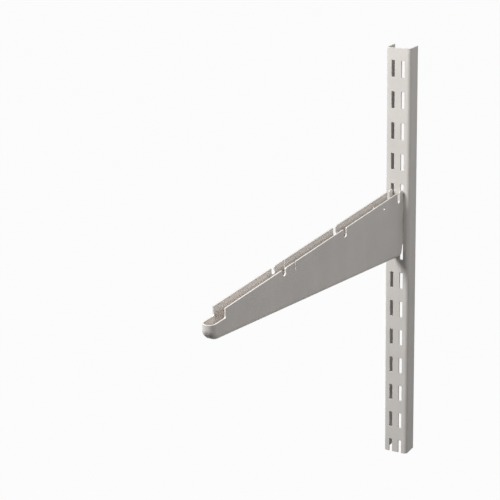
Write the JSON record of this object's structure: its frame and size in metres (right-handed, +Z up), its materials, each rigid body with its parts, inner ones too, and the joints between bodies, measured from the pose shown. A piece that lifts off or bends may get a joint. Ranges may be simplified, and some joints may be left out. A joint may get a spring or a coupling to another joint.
{
  "type": "slotted shelf bracket",
  "caption": "Slotted wall upright with a folded sheet-steel shelf arm hooked into its slots, with rod seats in the arm's top edge.",
  "frame": {"origin": "on the wall plane, the back edges of the upright's flanges, at mid width and mid length of the upright", "axes": "+X to the right seen from the room, -Y out into the room along the arm, +Y into the wall, +Z up along the upright"},
  "size_m": [0.0264, 0.3951, 0.443],
  "materials": {
    "upright_paint": "satin powder coat, warm light grey",
    "arm_paint": "satin powder coat, warm light grey"
  },
  "bodies": {
    "root": {"upright": "upright_paint", "shelf_arm": "arm_paint"}
  },
  "joints": []
}
